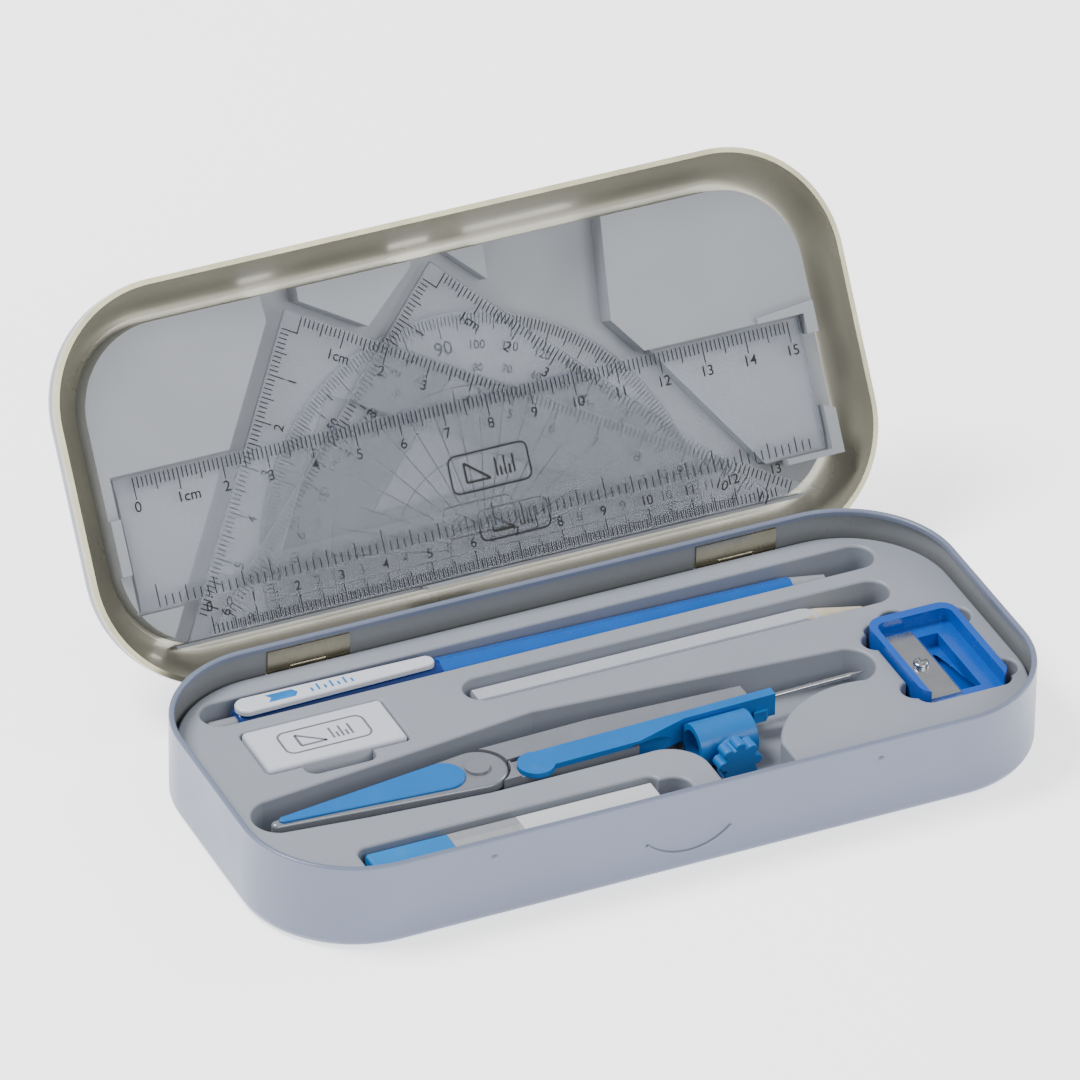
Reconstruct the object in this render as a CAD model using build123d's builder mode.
from build123d import *
import os
from math import cos, radians, sin, sqrt

# Geometry tin with drafting instruments, modelled with the lid standing open.
# Origin: centre of the base underside.  X runs along the tin, +Y towards the hinges, Z up.

# ---------------------------------------------------------------- tin box
base_length = 176.4
base_width = 82.6
base_height = 19.7
corner_radius = 24.6
sheet = 0.6
base_edge_radius = 2.0
rim_curl_width = 1.3
rim_curl_height = 1.2
rim_round = 0.5
lid_overlap = 3.2
lid_clearance = 0.35
lid_depth = 11.6
lid_shoulder = 7.2
hem_thickness = 0.5
hem_height = 1.6
open_angle = 122.5
bump_radius = 0.9
bump_stand_off = 0.4
bump_spacing = 86.6
bump_drop = 1.2
scoop_radius = 13.3
scoop_half_angle = 45.0
scoop_drop = 15.0
scoop_wire = 0.35

# ---------------------------------------------------------------- hinges
hinge_spacing = 97.8
hinge_width = 18.5
pin_radius = 0.6
pin_clearance = 0.05
leaf_thickness = 0.5
pin_drop = 7.1
pin_outset = 0.3
knuckle_gap = 0.25
centre_knuckle = 8.0
window_clearance = 0.25
base_leaf_height = 4.4
lid_leaf_reach = 7.0

# ---------------------------------------------------------------- moulded base tray
tray_drop = 6.2
tray_gap = 0.8
tray_back_gap = 1.3
plastic = 1.0
pocket_edge_radius = 0.7
fit_gap = 0.9

# ---------------------------------------------------------------- contents of the base
mech_length = 140.4
mech_radius = 3.5
mech_tip_radius = 1.2
mech_barrel_end_radius = 2.4
mech_nose = 8.0
mech_barrel_length = 80.6
mech_y = 29.9
mech_tip_x = 64.6
mech_top_drop = 0.6
mech_wall = 0.7
reservoir_radius = 1.5
button_radius = 2.0
button_length = 12.0
button_out = 6.0
button_bore_gap = 0.1
clip_length = 43.0
clip_width = 5.2
clip_thickness = 1.3

pencil_flats = 6.4
pencil_y = 16.9
pencil_start = -21.6
pencil_body_length = 73.8
pencil_cone_length = 19.0
pencil_point = 0.35
pencil_slot_end = 2.4
pencil_slot_length = 97.0
lead_radius = 1.1
pencil_drop = 1.4

eraser_length = 31.0
eraser_width = 14.8
eraser_height = 10.8
eraser_x = -56.8
eraser_y = 13.8
eraser_proud = 0.5
eraser_notch_length = 15.6
eraser_notch_depth = 3.4

sharpener_width = 20.0
sharpener_length = 29.6
sharpener_height = 12.4
sharpener_x = 71.8
sharpener_y = -9.4
sharpener_proud = 1.7
sharpener_wall = 1.5
sharpener_corner = 3.6
sharpener_recess = 3.2
sharpener_bore = 4.0
blade_length = 24.0
blade_width = 7.6
blade_thickness = 0.6
blade_screw_radius = 1.7

case_length = 63.4
case_width = 9.2
case_height = 5.2
case_left = -65.4
case_y = -30.7
case_wall = 0.8
case_drop = 0.7
case_cap_length = 17.8
case_cap_overlap = 4.0
case_fit = 0.1
refill_radius = 0.35
refill_count = 6

# ---------------------------------------------------------------- compass
compass_x = -33.0
compass_y = -9.6
compass_turn = 1.6
compass_thickness = 7.0
compass_proud = 0.4
head_radius = 6.4
handle_length = 45.0
handle_tip_radius = 1.2
joint_gap = 0.5
pad_thickness = 1.2
pad_margin = 1.3
leg_width = 5.8
leg_split = 0.6
leg_length = 62.0
leg_tip_width = 3.4
needle_radius = 0.6
needle_length = 36.6
needle_point = 4.0
needle_buried = 8.0
pivot_radius = 1.6
pivot_clearance = 0.1
pivot_head_radius = 2.6
pivot_head_height = 0.7
fork_gap = 3.2
tang_radius = 4.9
tang_gap = 0.1
pencil_leg_length = 34.0
holder_arm_width = 2.4
holder_arm_low = -1.2
holder_arm_end = 67.0
ring_start = 45.5
ring_length = 13.0
ring_bore = 3.6
ring_wall = 1.3
rib_half_height = 1.3
knob_u = 52.0
knob_core_radius = 3.7
knob_height = 3.4
knob_lobes = 8
knob_lobe_radius = 1.2
stud_radius = 1.3
stud_clearance = 0.1
boss_radius = 2.9
boss_height = 1.2

# ---------------------------------------------------------------- lid tray and drafting sheets
lid_tray_margin_x = 6.8
lid_tray_margin_y = 7.8
lid_tray_plate = 0.8
lid_block_height = 6.7
lid_tray_skin = 0.9
sheet_gap = 0.15
sheet_fit = 0.7
protractor_thickness = 1.2
square_thickness = 1.2
ruler_thickness = 1.6
ruler_length = 157.0
ruler_width = 28.0
ruler_bevel_depth = 0.8
ruler_bevel_width = 3.6
ruler_u = -0.3
ruler_v = -10.5
protractor_radius = 50.0
protractor_skirt = 4.0
sheets_bottom_v = -32.8
square60_short = 72.4
square60_corner_u = -33.4
square45_leg = 92.6
square45_corner_u = 0.9
window_band_60 = 14.0
window_band_45 = 17.0
clip_rise = 1.3
clip_width_u = 2.6
clip_lip = 1.2
upper_clip_reach = 10.6
upper_clip_drop = 4.4
lower_clip_rise = 9.6
end_tab_width = 2.2
end_tab_length = 11.8
middle_drop = 1.6
ledge_half = 72.0
ledge_gap = 0.4
ledge_clip_u = -9.5
ledge_clip_length = 14.4

# ---------------------------------------------------------------- worked-out heights and places
half_length = base_length / 2
half_width = base_width / 2
pin_y = half_width + pin_outset
pin_z = base_height - pin_drop
knuckle_radius = pin_radius + pin_clearance + leaf_thickness
lid_half_length = half_length + lid_clearance + sheet
lid_half_width = half_width + lid_clearance + sheet
lid_corner = corner_radius + lid_clearance + sheet
tray_top = base_height - tray_drop
pencil_corners = 2 * pencil_flats / sqrt(3)
tray_length = base_length - 2 * (sheet + tray_gap)
tray_width = base_width - 2 * sheet - tray_gap - tray_back_gap
tray_y = (tray_gap - tray_back_gap) / 2
tray_corner = corner_radius - sheet - tray_gap
mech_z = tray_top - mech_top_drop - mech_radius
pencil_z = tray_top - pencil_drop - pencil_flats / 2
compass_z = tray_top + compass_proud - compass_thickness / 2


def hinge_turned(y, z):
    """A point of the closed lid, carried round the hinge pin to the open position."""
    turn = radians(open_angle)
    dy = y - pin_y
    dz = z - pin_z
    return (0, pin_y + dy * cos(turn) + dz * sin(turn), pin_z - dy * sin(turn) + dz * cos(turn))


# Lid plane: x along the tin, y towards the lid's free edge, z out of the lid, from its outer face.
closed_top = base_height - lid_overlap + lid_depth
lid_normal = (0, -sin(radians(open_angle)), -cos(radians(open_angle)))
lid = Plane(origin=hinge_turned(0, closed_top), x_dir=(1, 0, 0), z_dir=lid_normal)

# Compass plane: x from the head joint towards the needle, z up, at mid thickness.
compass = Plane(
    origin=(compass_x, compass_y, compass_z),
    x_dir=(cos(radians(compass_turn)), sin(radians(compass_turn)), 0),
    z_dir=(0, 0, 1),
)

os.makedirs("parts", exist_ok=True)


def save(builder, name):
    """Label the finished piece and write it to its own file."""
    builder.part.label = name
    export_step(builder.part, f"parts/{name}.step")


# ================================================================ base tin
with BuildPart() as base_hollow:
    with BuildSketch(Plane.XY.offset(sheet)):
        RectangleRounded(base_length - 2 * sheet, base_width - 2 * sheet, corner_radius - sheet)
    extrude(amount=base_height)
    fillet(base_hollow.edges().group_by(Axis.Z)[0], base_edge_radius - sheet)

with BuildPart() as scoop:
    front = Plane(
        origin=(0, -half_width, base_height - scoop_drop + scoop_radius), x_dir=(1, 0, 0), z_dir=(0, -1, 0)
    )
    with BuildLine(front) as smile:
        CenterArc((0, 0), scoop_radius, -90 - scoop_half_angle, 2 * scoop_half_angle)
    with BuildSketch(Plane(origin=smile.line @ 0, z_dir=smile.line % 0)):
        Circle(scoop_wire)
    sweep(path=smile.line)

window = knuckle_radius + window_clearance
bump_z = base_height - lid_overlap - bump_drop
with BuildPart() as base_tin:
    with BuildSketch():
        RectangleRounded(base_length, base_width, corner_radius)
    extrude(amount=base_height)
    fillet(base_tin.edges().group_by(Axis.Z)[0], base_edge_radius)
    add(base_hollow.part, mode=Mode.SUBTRACT)
    with BuildSketch(Plane.XY.offset(base_height - rim_curl_height)):
        RectangleRounded(base_length, base_width, corner_radius)
        offset(amount=-rim_curl_width, mode=Mode.SUBTRACT)
    extrude(amount=rim_curl_height)
    fillet(base_tin.edges().group_by(Axis.Z)[-1], rim_round)
    with Locations((-hinge_spacing / 2, half_width, pin_z), (hinge_spacing / 2, half_width, pin_z)):
        Box(hinge_width + 2 * window_clearance, 4 * sheet, 2 * window, mode=Mode.SUBTRACT)
    with Locations(
        (-bump_spacing / 2, bump_radius - bump_stand_off - half_width, bump_z),
        (bump_spacing / 2, bump_radius - bump_stand_off - half_width, bump_z),
    ):
        Sphere(bump_radius)
    add(scoop.part)
    with BuildSketch(Plane.XY.offset(base_edge_radius)):
        RectangleRounded(base_length - 2 * sheet, base_width - 2 * sheet, corner_radius - sheet)
    extrude(amount=base_height - rim_curl_height - base_edge_radius, mode=Mode.SUBTRACT)
save(base_tin, "base_tin")


# ================================================================ hinges
def base_leaf(side):
    """Strap inside the back wall; its two end knuckles pass out through the window."""
    across = Plane(origin=(0, pin_y, pin_z), x_dir=(0, 1, 0), z_dir=(1, 0, 0))
    end = (hinge_width - centre_knuckle) / 2 - knuckle_gap
    wall_face = half_width - sheet - pin_y
    with BuildPart() as leaf:
        for place in (-1, 1):
            x = side * hinge_spacing / 2 + place * (hinge_width - end) / 2
            with BuildSketch(across.offset(x - end / 2)) as strap:
                Circle(knuckle_radius)
                with Locations(((wall_face - leaf_thickness) / 2, knuckle_radius - leaf_thickness / 2)):
                    Rectangle(leaf_thickness - wall_face, leaf_thickness)
                Circle(pin_radius + pin_clearance, mode=Mode.SUBTRACT)
            extrude(strap.sketch, amount=end)
        plate_z = pin_z + knuckle_radius - leaf_thickness + knuckle_gap
        with Locations((side * hinge_spacing / 2, pin_y + wall_face - leaf_thickness / 2, plate_z)):
            Box(hinge_width, leaf_thickness, base_leaf_height, align=(Align.CENTER, Align.CENTER, Align.MIN))
    return leaf


def lid_leaf(side):
    """Centre knuckle and strap, which lies on the outside of the lid's back skirt."""
    pin_in_lid = lid.to_local_coords(Vector(0, pin_y, pin_z))
    across = Plane(origin=(0, pin_y, pin_z), x_dir=lid.y_dir, z_dir=(-1, 0, 0))
    x = -side * hinge_spacing / 2
    strap_face = -lid_half_width - pin_in_lid.Y
    with BuildPart() as leaf:
        with BuildSketch(across.offset(x - centre_knuckle / 2)) as strap:
            Circle(knuckle_radius)
            with Locations((strap_face - leaf_thickness / 2, lid_leaf_reach / 2)):
                Rectangle(leaf_thickness, lid_leaf_reach)
            Circle(pin_radius + pin_clearance, mode=Mode.SUBTRACT)
        extrude(strap.sketch, amount=centre_knuckle)
    return leaf


for side, word in ((-1, "left"), (1, "right")):
    save(base_leaf(side), f"base_hinge_leaf_{word}")
    save(lid_leaf(side), f"lid_hinge_leaf_{word}")
    with BuildPart() as pin:
        with BuildSketch(Plane(origin=(0, pin_y, pin_z), x_dir=(0, 1, 0), z_dir=(1, 0, 0)).offset(
            side * hinge_spacing / 2 - hinge_width / 2
        )):
            Circle(pin_radius)
        extrude(amount=hinge_width)
    save(pin, f"hinge_pin_{word}")


# ================================================================ base tray pockets
def slot_outline(x0, x1, y, width):
    """Round-ended slot between two ends along the tin."""
    with BuildSketch() as outline:
        with Locations(((x0 + x1) / 2, y)):
            SlotOverall(x1 - x0, width)
    return outline.sketch


mech_start = mech_tip_x - mech_length
mech_pocket = slot_outline(mech_start - 1.6, mech_tip_x + 11.0, mech_y, 2 * mech_radius + 2 * fit_gap - 0.4)

with BuildSketch() as pencil_pocket:
    with Locations((pencil_start - pencil_slot_end, pencil_y)):
        SlotOverall(pencil_slot_length, pencil_corners + fit_gap, align=(Align.MIN, Align.CENTER))

with BuildSketch() as eraser_pocket:
    with Locations((eraser_x, eraser_y)):
        RectangleRounded(eraser_length + fit_gap, eraser_width + fit_gap, 1.2)
    with Locations((eraser_x - 0.4, eraser_y - eraser_width / 2 - fit_gap / 2)):
        RectangleRounded(eraser_notch_length, 2 * eraser_notch_depth, 2.4)

with BuildSketch() as case_pocket:
    case_end = case_left + case_length
    with Locations(((case_left + case_end) / 2, case_y)):
        RectangleRounded(case_length + 3.4, case_width + 2 * fit_gap, 2.4)
    with Locations((case_end + 2.0, case_y - 0.4)):
        SlotOverall(10.5, case_width - 1.6)

with BuildSketch() as sharpener_pocket:
    half_w = sharpener_width / 2
    half_l = sharpener_length / 2
    with Locations((sharpener_x, sharpener_y)):
        RectangleRounded(sharpener_width + fit_gap, sharpener_length + fit_gap, 2.6)
    with Locations(
        (sharpener_x - half_w + 0.6, sharpener_y + half_l - 5.4),
        (sharpener_x - 2.6, sharpener_y + half_l + 0.4),
        (sharpener_x + half_w - 0.4, sharpener_y + half_l - 3.6),
        (sharpener_x + half_w + 0.2, sharpener_y - half_l + 5.2),
        (sharpener_x - half_w + 0.4, sharpener_y - half_l + 5.2),
    ):
        Circle(3.2)

with BuildSketch() as compass_pocket:
    with BuildLine():
        far_side = Polyline((-77.6, -2.4), (-36.0, 2.4), (-14.0, 5.2), (54.6, 0.2))
        right_end = RadiusArc(far_side @ 1, (54.0, -11.6), 6.2)
        knob_side = ThreePointArc(right_end @ 1, (36.0, -15.2), (28.4, -25.0))
        Line(knob_side @ 1, (28.4, -37.2))
        Line((28.4, -37.2), (11.8, -37.2))
        Line((11.8, -37.2), (11.8, -26.0))
        tray_bend = ThreePointArc((11.8, -26.0), (8.6, -19.4), (1.8, -17.4))
        near_side = Polyline(tray_bend @ 1, (-33.4, -17.6), (-60.0, -15.6), (-78.0, -13.6))
        ThreePointArc(near_side @ 1, (-82.0, -8.2), far_side @ 0)
    make_face()
    fillet(compass_pocket.vertices(), 0.8)

pockets = (
    (mech_pocket, mech_top_drop + 2 * mech_radius + 0.5),
    (pencil_pocket.sketch, pencil_drop + pencil_flats + 0.4),
    (eraser_pocket.sketch, eraser_height - eraser_proud + 0.2),
    (case_pocket.sketch, case_drop + case_height + 0.3),
    (sharpener_pocket.sketch, sharpener_height - sharpener_proud + 0.2),
    (compass_pocket.sketch, tray_top - compass_z + ring_bore + ring_wall + 0.4),
)


def base_tray_piece():
    """Thin moulded tray: a top sheet, an outer skirt and one cup for each pocket."""
    with BuildPart() as underside:
        with BuildSketch(Plane.XY.offset(base_edge_radius)):
            with Locations((0, tray_y)):
                RectangleRounded(tray_length - 2 * plastic, tray_width - 2 * plastic, tray_corner - plastic)
        extrude(amount=tray_top - plastic - base_edge_radius)
        for outline, depth in pockets:
            with BuildSketch(Plane.XY.offset(tray_top - depth - plastic)) as cup:
                add(outline)
                offset(amount=plastic, kind=Kind.ARC)
            extrude(cup.sketch, amount=depth + plastic, mode=Mode.SUBTRACT)
    with BuildPart() as tray:
        with BuildSketch(Plane.XY.offset(base_edge_radius)):
            with Locations((0, tray_y)):
                RectangleRounded(tray_length, tray_width, tray_corner)
        extrude(amount=tray_top - base_edge_radius)
        for outline, depth in pockets:
            with BuildSketch(Plane.XY.offset(tray_top - depth)) as hole:
                add(outline)
            extrude(hole.sketch, amount=depth, mode=Mode.SUBTRACT)
        fillet(tray.edges().group_by(Axis.Z)[-1], pocket_edge_radius)
        add(underside.part, mode=Mode.SUBTRACT)
    return tray


save(base_tray_piece(), "base_tray")


# ================================================================ mechanical pencil
def along_x(x, y, z):
    """Plane across the tin's length, for pieces turned about an axis along X."""
    return Plane(origin=(x, y, z), x_dir=(0, 1, 0), z_dir=(1, 0, 0))


sleeve_start = mech_tip_x - mech_nose - mech_barrel_length
sleeve_length = sleeve_start - mech_start - button_out

with BuildPart() as mech_barrel:
    with BuildSketch(along_x(sleeve_start, mech_y, mech_z)):
        RegularPolygon(mech_radius, 8, major_radius=False)
    with BuildSketch(along_x(sleeve_start + mech_barrel_length, mech_y, mech_z)):
        RegularPolygon(mech_barrel_end_radius, 8, major_radius=False)
    loft()
    with BuildSketch(along_x(sleeve_start, mech_y, mech_z)):
        Circle(reservoir_radius + button_bore_gap)
    extrude(amount=mech_barrel_length, mode=Mode.SUBTRACT)
save(mech_barrel, "mechanical_pencil_barrel")

with BuildPart() as mech_sleeve:
    with BuildSketch(along_x(sleeve_start - sleeve_length, mech_y, mech_z)):
        Circle(mech_radius)
    extrude(amount=sleeve_length)
    fillet(mech_sleeve.edges().group_by(Axis.X)[0], mech_wall)
    with BuildSketch(along_x(sleeve_start - sleeve_length, mech_y, mech_z)):
        Circle(button_radius + button_bore_gap)
    extrude(amount=sleeve_length, mode=Mode.SUBTRACT)
save(mech_sleeve, "mechanical_pencil_sleeve")

with BuildPart() as mech_tip:
    with BuildSketch(along_x(mech_tip_x - mech_nose, mech_y, mech_z)):
        Circle(mech_barrel_end_radius)
    with BuildSketch(along_x(mech_tip_x, mech_y, mech_z)):
        Circle(mech_tip_radius)
    loft()
    with BuildSketch(along_x(mech_tip_x - mech_nose, mech_y, mech_z)):
        Circle(refill_radius)
    extrude(amount=mech_nose, mode=Mode.SUBTRACT)
save(mech_tip, "mechanical_pencil_tip")

reservoir_start = mech_start + button_length + 4.0
with BuildPart() as reservoir:
    with BuildSketch(along_x(reservoir_start, mech_y, mech_z)):
        Circle(reservoir_radius)
        Circle(reservoir_radius - 0.5, mode=Mode.SUBTRACT)
    extrude(amount=mech_tip_x - mech_nose - reservoir_start)
save(reservoir, "mechanical_pencil_lead_tube")

with BuildPart() as push_button:
    with BuildSketch(along_x(mech_start, mech_y, mech_z)):
        Circle(button_radius)
    extrude(amount=button_length)
    fillet(push_button.edges().group_by(Axis.X)[0], 0.8)
save(push_button, "mechanical_pencil_push_button")

clip_z = mech_z + mech_radius
with BuildPart() as clip:
    with BuildSketch(Plane.XY.offset(clip_z)):
        with BuildLine():
            left = mech_start + button_out
            right_x = left + clip_length
            near = Line((left + 3.0, mech_y - clip_width / 2), (right_x, mech_y - 1.8))
            nose = ThreePointArc(near @ 1, (right_x + 1.6, mech_y), (right_x, mech_y + 1.8))
            Line(nose @ 1, (left + 3.0, mech_y + clip_width / 2))
            ThreePointArc((left + 3.0, mech_y + clip_width / 2), (left, mech_y), near @ 0)
        make_face()
    extrude(amount=clip_thickness)
    fillet(clip.edges().group_by(Axis.Z)[-1], 0.45 * clip_thickness)
save(clip, "mechanical_pencil_clip")

# ================================================================ wooden pencil
cone_end = pencil_start + pencil_body_length + pencil_cone_length
cone_wide = pencil_corners / 2 + 0.2
pencil_side = Plane(origin=(0, pencil_y, pencil_z), x_dir=(1, 0, 0), z_dir=(0, -1, 0))
pencil_axis = Axis((0, pencil_y, pencil_z), (1, 0, 0))
with BuildPart() as pencil_cone:
    with BuildSketch(pencil_side):
        with BuildLine():
            Polyline(
                (pencil_start, 0),
                (cone_end, 0),
                (cone_end, pencil_point),
                (cone_end - pencil_cone_length, cone_wide),
                (pencil_start, cone_wide),
                close=True,
            )
        make_face()
    revolve(axis=pencil_axis)

with BuildPart() as pencil_body:
    with BuildSketch(along_x(pencil_start, pencil_y, pencil_z)):
        RegularPolygon(pencil_flats / 2, 6, major_radius=False)
    extrude(amount=cone_end - pencil_start)
    add(pencil_cone.part, mode=Mode.INTERSECT)
    with BuildSketch(along_x(pencil_start, pencil_y, pencil_z)):
        Circle(lead_radius)
    extrude(amount=cone_end - pencil_start, mode=Mode.SUBTRACT)
save(pencil_body, "wooden_pencil_body")

with BuildPart() as pencil_lead:
    with BuildSketch(along_x(pencil_start, pencil_y, pencil_z)):
        Circle(lead_radius)
    extrude(amount=cone_end - pencil_start)
    add(pencil_cone.part, mode=Mode.INTERSECT)
save(pencil_lead, "wooden_pencil_lead")

# ================================================================ eraser
with BuildPart() as eraser:
    with Locations((eraser_x, eraser_y, tray_top + eraser_proud - eraser_height / 2)):
        Box(eraser_length, eraser_width, eraser_height)
    fillet(eraser.edges(), 0.9)
save(eraser, "eraser")

# ================================================================ sharpener
sharpener_base = tray_top + sharpener_proud - sharpener_height
sharpener_floor = sharpener_base + sharpener_height - sharpener_recess
blade_x = sharpener_x - sharpener_width / 2 + sharpener_wall + blade_width / 2 + 0.3
blade_y = sharpener_y - 1.2

with BuildPart() as sharpener:
    with BuildSketch(Plane.XY.offset(sharpener_base)):
        with Locations((sharpener_x, sharpener_y)):
            RectangleRounded(sharpener_width, sharpener_length, sharpener_corner)
    extrude(amount=sharpener_height)
    with BuildSketch(Plane.XY.offset(sharpener_floor)):
        with Locations((sharpener_x, sharpener_y - sharpener_wall)):
            RectangleRounded(
                sharpener_width - 2 * sharpener_wall,
                sharpener_length - sharpener_wall,
                sharpener_corner - sharpener_wall,
            )
    extrude(amount=sharpener_recess, mode=Mode.SUBTRACT)
    channel_x = blade_x + blade_width / 2 + 2.6
    with BuildSketch(Plane.XY.offset(sharpener_floor - 3.0)):
        with Locations((channel_x, sharpener_y - 1.5)):
            Rectangle(4.6, sharpener_length - 9.0)
    extrude(amount=3.0, mode=Mode.SUBTRACT)
    bore_z = sharpener_base + sharpener_bore + 0.9
    with BuildSketch(Plane(origin=(channel_x, sharpener_y - sharpener_length / 2, bore_z), z_dir=(0, 1, 0))):
        Circle(sharpener_bore)
    bore_end = sharpener_y + sharpener_length / 2 - 6.0
    with BuildSketch(Plane(origin=(channel_x, bore_end, bore_z), z_dir=(0, 1, 0))):
        Circle(0.9)
    loft(mode=Mode.SUBTRACT)
    with Locations((blade_x, blade_y, sharpener_floor)):
        Hole(0.9, depth=4.0)
save(sharpener, "sharpener_body")

with BuildPart() as blade:
    with Locations((blade_x, blade_y, sharpener_floor)):
        Box(blade_width, blade_length, blade_thickness, align=(Align.CENTER, Align.CENTER, Align.MIN))
    chamfer(blade.edges().filter_by(Axis.Y).group_by(Axis.X)[-1].group_by(Axis.Z)[-1], 0.4)
    with Locations((blade_x, blade_y, sharpener_floor + blade_thickness)):
        Hole(0.9)
save(blade, "sharpener_blade")

with BuildPart() as blade_screw:
    with Locations((blade_x, blade_y, sharpener_floor + blade_thickness)):
        Cylinder(blade_screw_radius, 1.0, align=(Align.CENTER, Align.CENTER, Align.MIN))
    fillet(blade_screw.edges().group_by(Axis.Z)[-1], 0.6)
    with Locations((blade_x, blade_y, sharpener_floor + blade_thickness + 1.0)):
        Box(3.0, 0.5, 0.8, mode=Mode.SUBTRACT)
        Box(0.5, 3.0, 0.8, mode=Mode.SUBTRACT)
    with Locations((blade_x, blade_y, sharpener_floor + blade_thickness)):
        Cylinder(0.9, 4.0, align=(Align.CENTER, Align.CENTER, Align.MAX))
save(blade_screw, "sharpener_blade_screw")

# ================================================================ lead case
case_z = tray_top - case_drop - case_height / 2
case_body_start = case_left + case_cap_length - case_cap_overlap
body_height = case_height - 2 * case_wall
body_width = case_width - 2 * case_wall

with BuildPart() as lead_case:
    with BuildSketch(along_x(case_body_start, case_y, case_z)):
        RectangleRounded(body_width, body_height, 0.9)
    extrude(amount=case_left + case_length - case_body_start)
    with BuildSketch(along_x(case_left + case_cap_length + 0.1, case_y, case_z)):
        RectangleRounded(case_width, case_height, 1.2)
    extrude(amount=case_length - case_cap_length - 0.1)
    with BuildSketch(along_x(case_body_start, case_y, case_z)):
        RectangleRounded(body_width - 2 * case_wall, body_height - 1.2 * case_wall, 0.3)
    extrude(amount=case_left + case_length - case_body_start - 1.2, mode=Mode.SUBTRACT)
save(lead_case, "lead_case_body")

with BuildPart() as case_cap:
    with BuildSketch(along_x(case_left, case_y, case_z)):
        RectangleRounded(case_width, case_height, 1.2)
    extrude(amount=case_cap_length)
    fillet(case_cap.edges().group_by(Axis.X)[0], 0.7)
    with BuildSketch(along_x(case_left + case_cap_length - case_cap_overlap - 0.4, case_y, case_z)):
        RectangleRounded(body_width + 2 * case_fit, body_height + 2 * case_fit, 0.9)
    extrude(amount=case_cap_overlap + 0.4, mode=Mode.SUBTRACT)
save(case_cap, "lead_case_cap")

with BuildPart() as refills:
    with Locations((case_body_start + 2.0, case_y, case_z)):
        with GridLocations(0, 2.6 * refill_radius, 1, refill_count):
            Cylinder(
                refill_radius, 40.0, rotation=(0, 90, 0), align=(Align.CENTER, Align.CENTER, Align.MIN)
            )
save(refills, "spare_leads")


# ================================================================ compass
half_thick = compass_thickness / 2


def compass_hull(u0, radius0, u1, radius1, n=0.0):
    """Outline wrapped round two circles on a line along the compass."""
    with Locations((u0, n)):
        first = Circle(radius0)
    with Locations((u1, n)):
        second = Circle(radius1)
    make_hull(first.edges() + second.edges())


with BuildPart() as handle:
    with BuildSketch(compass.offset(-half_thick)):
        compass_hull(0, head_radius, -handle_length, handle_tip_radius)
    extrude(amount=compass_thickness)
    fillet(handle.edges().group_by(Axis.Z)[-1], 0.8)
    with BuildSketch(compass.offset(half_thick - pad_thickness / 2)):
        compass_hull(-7.6, head_radius - pad_margin - 0.6, -handle_length + 1.4, 0.9)
    extrude(amount=pad_thickness, mode=Mode.SUBTRACT)
    with BuildSketch(compass.offset(-fork_gap / 2)):
        Rectangle(2 * head_radius, 3 * head_radius, align=(Align.MIN, Align.CENTER))
        Circle(head_radius + joint_gap)
    extrude(amount=fork_gap, mode=Mode.SUBTRACT)
    with BuildSketch(compass.offset(-half_thick)):
        Circle(pivot_radius + 0.02)
    extrude(amount=compass_thickness, mode=Mode.SUBTRACT)
save(handle, "compass_handle")

with BuildPart() as handle_pad:
    with BuildSketch(compass.offset(half_thick - pad_thickness / 2)):
        compass_hull(-7.6, head_radius - pad_margin - 0.6, -handle_length + 1.4, 0.9)
    extrude(amount=pad_thickness)
    fillet(handle_pad.edges().group_by(Axis.Z)[-1], 0.35)
save(handle_pad, "compass_handle_pad")

with BuildPart() as pivot:
    with BuildSketch(compass.offset(-half_thick)):
        Circle(pivot_radius)
    extrude(amount=compass_thickness)
    for face in (-half_thick - pivot_head_height, half_thick):
        with BuildSketch(compass.offset(face)):
            Circle(pivot_head_radius)
        extrude(amount=pivot_head_height)
save(pivot, "compass_pivot_rivet")


def leg_blank(side, length, tip_width):
    """Leg bar on one side of the split line, hollowed at the head end round the handle."""
    near = side * leg_split / 2
    far = near + side * leg_width
    tip = near + side * tip_width
    with BuildSketch(compass.offset(-half_thick)) as bar:
        with BuildLine():
            Polyline((0, near), (length, near), (length, tip), (0.45 * length, far), (0, far), close=True)
        make_face()
        Circle(head_radius + joint_gap, mode=Mode.SUBTRACT)
    extrude(bar.sketch, amount=compass_thickness)


def leg_tang(side):
    """Thin round eye that reaches from the leg into the handle's fork."""
    thickness = fork_gap / 2 - 2 * tang_gap
    start = tang_gap if side < 0 else -tang_gap - thickness
    with BuildSketch(compass.offset(start)) as eye:
        Circle(tang_radius)
        with Locations((0, side * 0.5 * leg_width)):
            Rectangle(head_radius + 3.0, 0.6 * leg_width, align=(Align.MIN, Align.CENTER))
        Circle(pivot_radius + pivot_clearance, mode=Mode.SUBTRACT)
    extrude(eye.sketch, amount=thickness)


needle_n = leg_split / 2 + leg_tip_width / 2
needle_start = leg_length - needle_buried
with BuildPart() as needle_leg:
    leg_blank(1, leg_length, leg_tip_width)
    leg_tang(1)
    needle_plane = Plane(
        origin=compass.from_local_coords((needle_start, needle_n, 0)),
        x_dir=compass.y_dir,
        z_dir=compass.x_dir,
    )
    with BuildSketch(needle_plane):
        Circle(needle_radius)
    extrude(amount=needle_buried, mode=Mode.SUBTRACT)
save(needle_leg, "compass_needle_leg")

with BuildPart() as needle:
    with BuildSketch(needle_plane):
        Circle(needle_radius)
    extrude(amount=needle_length - needle_point)
    with BuildSketch(needle_plane.offset(needle_length - needle_point)):
        Circle(needle_radius)
    with BuildSketch(needle_plane.offset(needle_length)):
        Circle(0.08)
    loft()
save(needle, "compass_needle")

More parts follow.
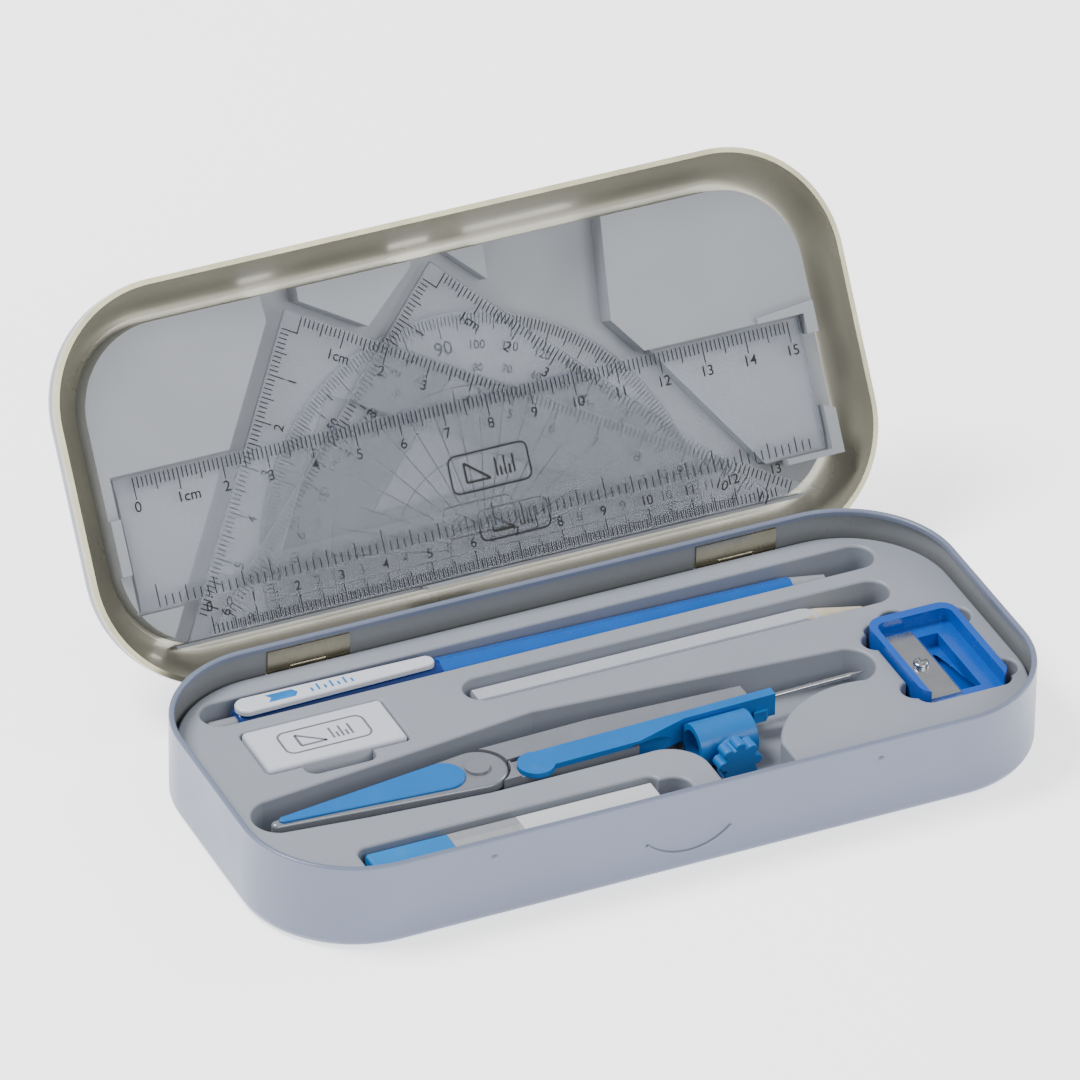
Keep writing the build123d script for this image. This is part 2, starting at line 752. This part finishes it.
with BuildPart() as pencil_leg:
    leg_blank(-1, pencil_leg_length, leg_width)
    leg_tang(-1)
    with BuildSketch(compass.offset(half_thick - pad_thickness / 2)):
        with Locations((head_radius + 0.8, -leg_split / 2)):
            Rectangle(pencil_leg_length, leg_width, align=(Align.MIN, Align.MAX))
    extrude(amount=pad_thickness, mode=Mode.SUBTRACT)
save(pencil_leg, "compass_pencil_leg")

ring_radius = ring_bore + ring_wall
ring_n = -leg_split / 2 - holder_arm_width - ring_radius + 0.4
with BuildPart() as holder:
    with BuildSketch(compass.offset(half_thick - pad_thickness / 2)):
        with BuildLine():
            edge_n = -leg_split / 2
            start_u = head_radius + 1.4
            Polyline(
                (start_u + 5.0, edge_n),
                (pencil_leg_length, edge_n),
                (pencil_leg_length, edge_n - leg_width),
                (start_u + 7.0, edge_n - leg_width),
            )
            ThreePointArc(
                (start_u + 7.0, edge_n - leg_width), (start_u, edge_n - 2.2), (start_u + 5.0, edge_n)
            )
        make_face()
    extrude(amount=pad_thickness)
    with BuildSketch(compass.offset(holder_arm_low)):
        with BuildLine():
            Polyline(
                (pencil_leg_length, edge_n),
                (holder_arm_end, edge_n),
                (holder_arm_end, edge_n - holder_arm_width),
                (pencil_leg_length + 12.0, edge_n - holder_arm_width),
                (pencil_leg_length, edge_n - leg_width),
                close=True,
            )
        make_face()
    extrude(amount=half_thick + pad_thickness / 2 - holder_arm_low)
    with BuildSketch(compass.offset(-rib_half_height)):
        with BuildLine():
            outer = ThreePointArc(
                (pencil_leg_length + 0.8, edge_n - 4.0), (41.0, edge_n - 6.6), (ring_start + 3.0, ring_n - 2.0)
            )
            Line(outer @ 1, (ring_start + 3.0, ring_n + 1.4))
            inner = ThreePointArc(
                (ring_start + 3.0, ring_n + 1.4), (42.4, edge_n - 4.0), (pencil_leg_length + 4.0, edge_n - 1.5)
            )
            Line(inner @ 1, outer @ 0)
        make_face()
        with BuildLine():
            ring_end = ring_start + ring_length
            Polyline(
                (holder_arm_end - 3.2, edge_n - 1.0),
                (holder_arm_end - 0.2, edge_n - 1.0),
                (ring_end + 0.4, ring_n - 2.4),
                (ring_end - 2.6, ring_n - 2.4),
                close=True,
            )
        make_face()
    extrude(amount=2 * rib_half_height)
    ring_plane = Plane(
        origin=compass.from_local_coords((ring_start, ring_n, 0)), x_dir=compass.y_dir, z_dir=compass.x_dir
    )
    with BuildSketch(ring_plane):
        Circle(ring_radius)
    extrude(amount=ring_length)
    boss_plane = Plane(
        origin=compass.from_local_coords((knob_u, ring_n, 0)), x_dir=compass.x_dir, z_dir=-compass.y_dir
    )
    with BuildSketch(boss_plane):
        Circle(boss_radius)
    extrude(amount=ring_radius + boss_height)
    with BuildSketch(ring_plane.offset(-ring_length)):
        Circle(ring_bore)
    extrude(amount=3 * ring_length, mode=Mode.SUBTRACT)
    with BuildSketch(boss_plane):
        Circle(stud_radius + stud_clearance)
    extrude(amount=ring_radius + boss_height, mode=Mode.SUBTRACT)
save(holder, "compass_pencil_holder")

with BuildPart() as knob:
    knob_start = ring_radius + boss_height + 0.2
    with BuildSketch(boss_plane.offset(knob_start)):
        Circle(knob_core_radius)
        with PolarLocations(knob_core_radius, knob_lobes):
            Circle(knob_lobe_radius)
    extrude(amount=knob_height)
    fillet(knob.faces().sort_by(Axis(boss_plane.origin, boss_plane.z_dir))[-1].edges(), 0.4)
    with BuildSketch(boss_plane.offset(ring_bore - 0.5)):
        Circle(stud_radius)
    extrude(amount=knob_start - ring_bore + 0.5)
save(knob, "compass_clamp_knob")

# ================================================================ lid tin
lid_axis = Axis(lid.origin, lid.z_dir)
with BuildPart() as lid_hollow:
    with BuildSketch(lid.offset(sheet)):
        RectangleRounded(2 * (lid_half_length - sheet), 2 * (lid_half_width - sheet), lid_corner - sheet)
    extrude(amount=lid_depth)
    fillet(lid_hollow.edges().group_by(lid_axis)[0], lid_shoulder - sheet)

with BuildPart() as lid_tin:
    with BuildSketch(lid):
        RectangleRounded(2 * lid_half_length, 2 * lid_half_width, lid_corner)
    extrude(amount=lid_depth)
    fillet(lid_tin.edges().group_by(lid_axis)[0], lid_shoulder)
    add(lid_hollow.part, mode=Mode.SUBTRACT)
    with BuildSketch(lid.offset(lid_depth - hem_height)):
        RectangleRounded(
            2 * (lid_half_length + hem_thickness),
            2 * (lid_half_width + hem_thickness),
            lid_corner + hem_thickness,
        )
        RectangleRounded(2 * lid_half_length, 2 * lid_half_width, lid_corner, mode=Mode.SUBTRACT)
        with Locations(
            (-hinge_spacing / 2, -lid_half_width - hem_thickness / 2),
            (hinge_spacing / 2, -lid_half_width - hem_thickness / 2),
        ):
            Rectangle(centre_knuckle + 2 * knuckle_gap, hem_thickness, mode=Mode.SUBTRACT)
    extrude(amount=hem_height)
save(lid_tin, "lid_tin")

# ================================================================ drafting sheets in the lid
floor_w = sheet + lid_tray_plate
protractor_w = floor_w + sheet_gap
square45_w = protractor_w + protractor_thickness + sheet_gap
square60_w = square45_w + square_thickness + sheet_gap
ruler_w = square60_w + square_thickness + sheet_gap
block_w = sheet + lid_block_height
protractor_v = sheets_bottom_v + protractor_skirt


square60_left = square60_corner_u - square60_short * sin(radians(30))
square60_corners = (
    (square60_left, sheets_bottom_v),
    (square60_left + 2 * square60_short, sheets_bottom_v),
    (square60_corner_u, sheets_bottom_v + square60_short * cos(radians(30))),
)
square45_half = square45_leg * cos(radians(45))
square45_corners = (
    (square45_corner_u - square45_half, sheets_bottom_v),
    (square45_corner_u + square45_half, sheets_bottom_v),
    (square45_corner_u, sheets_bottom_v + square45_half),
)

with BuildPart() as ruler:
    with BuildSketch(lid.offset(ruler_w)):
        with Locations((ruler_u, ruler_v)):
            Rectangle(ruler_length, ruler_width)
    extrude(amount=ruler_thickness)
    chamfer(ruler.edges().filter_by(Axis.X).group_by(lid_axis)[-1], ruler_bevel_depth, ruler_bevel_width)
save(ruler, "ruler")

with BuildPart() as protractor:
    with BuildSketch(lid.offset(protractor_w)):
        with BuildLine():
            Polyline(
                (-protractor_radius, protractor_v),
                (-protractor_radius, sheets_bottom_v),
                (protractor_radius, sheets_bottom_v),
                (protractor_radius, protractor_v),
            )
            right_end = (protractor_radius, protractor_v)
            RadiusArc(right_end, (-protractor_radius, protractor_v), -protractor_radius)
        make_face()
        with Locations((0, protractor_v)):
            Circle(0.6, mode=Mode.SUBTRACT)
    extrude(amount=protractor_thickness)
save(protractor, "protractor")

with BuildPart() as square60:
    with BuildSketch(lid.offset(square60_w)):
        with BuildLine():
            Polyline(*square60_corners, close=True)
        make_face()
        offset(amount=-window_band_60, kind=Kind.INTERSECTION, mode=Mode.SUBTRACT)
    extrude(amount=square_thickness)
save(square60, "set_square_30_60")

with BuildPart() as square45:
    with BuildSketch(lid.offset(square45_w)):
        with BuildLine():
            Polyline(*square45_corners, close=True)
        make_face()
        offset(amount=-window_band_45, kind=Kind.INTERSECTION, mode=Mode.SUBTRACT)
    extrude(amount=square_thickness)
save(square45, "set_square_45")

# ================================================================ lid tray
tray_half_u = lid_half_length - sheet - lid_tray_margin_x
tray_half_v = lid_half_width - sheet - lid_tray_margin_y
tray_corner_r = lid_corner - sheet - lid_tray_margin_x
ledge_width = tray_half_v + sheets_bottom_v - ledge_gap
ruler_top_v = ruler_v + ruler_width / 2 + sheet_fit
ruler_low_v = ruler_v - ruler_width / 2 - sheet_fit
ruler_end_u = ruler_u + ruler_length / 2 + sheet_fit
ruler_left_u = ruler_u - ruler_length / 2 - sheet_fit
left_toe = square60_left - 5.0
left_block = (
    (-tray_half_u, tray_half_v),
    (-38.9, tray_half_v),
    (-38.6, 28.5),
    (left_toe, -tray_half_v),
    (-tray_half_u, -tray_half_v),
)
top_block = ((-30.6, tray_half_v), (-4.7, tray_half_v), (-5.0, 32.6), (-16.8, 22.6), (-30.7, 31.0))
middle_block = ((4.2, tray_half_v), (12.5, tray_half_v), (11.9, 26.4))
right_block = (
    (39.0, tray_half_v),
    (tray_half_u, tray_half_v),
    (tray_half_u, ruler_top_v),
    (42.4, ruler_top_v),
    (36.4, 12.0),
)
shelf_block = (
    (44.0, ruler_top_v),
    (tray_half_u, ruler_top_v),
    (tray_half_u, ruler_low_v),
    (64.5, ruler_low_v),
)


lid_blocks = (
    (left_block, block_w),
    (top_block, block_w),
    (middle_block, block_w - middle_drop),
    (right_block, block_w),
    (shelf_block, ruler_w - sheet_gap),
)


def lid_block(corners, top_w, inset):
    """Raised block, kept inside the tray's rounded outline."""
    with BuildSketch(lid.offset(sheet)) as block:
        with BuildLine():
            Polyline(*corners, close=True)
        make_face()
        RectangleRounded(2 * tray_half_u, 2 * tray_half_v, tray_corner_r, mode=Mode.INTERSECT)
        if inset:
            offset(amount=-inset, kind=Kind.INTERSECTION)
    extrude(block.sketch, amount=top_w - sheet - inset, dir=lid.z_dir)


with BuildPart() as lid_tray_underside:
    for corners, top_w in lid_blocks:
        lid_block(corners, top_w, lid_tray_skin)
    with BuildSketch(lid.offset(ruler_w - sheet_gap - lid_tray_skin)):
        with Locations((ruler_u, ruler_v)):
            Rectangle(
                ruler_length + 2 * (sheet_fit + lid_tray_skin), ruler_width + 2 * (sheet_fit + lid_tray_skin)
            )
    extrude(amount=lid_depth, mode=Mode.SUBTRACT)

with BuildPart() as lid_tray:
    with BuildSketch(lid.offset(sheet)):
        RectangleRounded(2 * tray_half_u, 2 * tray_half_v, tray_corner_r)
    extrude(amount=lid_tray_plate)
    for corners, top_w in lid_blocks:
        lid_block(corners, top_w, 0)
    with BuildSketch(lid.offset(ruler_w - sheet_gap)):
        with Locations((ruler_u, ruler_v)):
            Rectangle(ruler_length + 2 * sheet_fit, ruler_width + 2 * sheet_fit)
    extrude(amount=lid_depth, mode=Mode.SUBTRACT)
    add(lid_tray_underside.part, mode=Mode.SUBTRACT)
    with BuildSketch(lid.offset(sheet)):
        with Locations((0, -tray_half_v)):
            Rectangle(2 * ledge_half, ledge_width, align=(Align.CENTER, Align.MIN))
    extrude(amount=square60_w - sheet)
    with BuildSketch(lid.offset(ruler_w - sheet_gap - lid_tray_skin)):
        with BuildLine():
            Polyline(
                (ruler_end_u - upper_clip_reach, ruler_top_v),
                (ruler_end_u, ruler_top_v),
                (ruler_end_u, ruler_top_v - upper_clip_drop),
                (ruler_end_u + clip_width_u, ruler_top_v - upper_clip_drop),
                (ruler_end_u + clip_width_u, ruler_top_v + 2 * clip_lip),
                (ruler_end_u - upper_clip_reach, ruler_top_v + clip_lip),
                close=True,
            )
        make_face()
        with BuildLine():
            Polyline(
                (ruler_end_u, ruler_low_v + lower_clip_rise),
                (ruler_end_u + clip_width_u, ruler_low_v + lower_clip_rise - clip_lip),
                (ruler_end_u + clip_width_u, ruler_low_v - clip_lip),
                (ruler_end_u - upper_clip_reach, ruler_low_v - clip_lip),
                (ruler_end_u - upper_clip_reach, ruler_low_v),
                (ruler_end_u, ruler_low_v),
                close=True,
            )
        make_face()
    extrude(amount=block_w + clip_rise - ruler_w + sheet_gap + lid_tray_skin)
    with BuildSketch(lid.offset(ruler_w - sheet_gap - lid_tray_skin)):
        with Locations((ruler_left_u - 0.5 * end_tab_width, ruler_v)):
            Rectangle(end_tab_width, end_tab_length)
    extrude(amount=block_w + clip_rise - ruler_w + sheet_gap + lid_tray_skin)
    with BuildSketch(lid.offset(sheet)):
        with Locations((ledge_clip_u, -tray_half_v)):
            Rectangle(ledge_clip_length, ledge_width, align=(Align.CENTER, Align.MIN))
    extrude(amount=block_w + clip_rise - sheet)
save(lid_tray, "lid_tray")
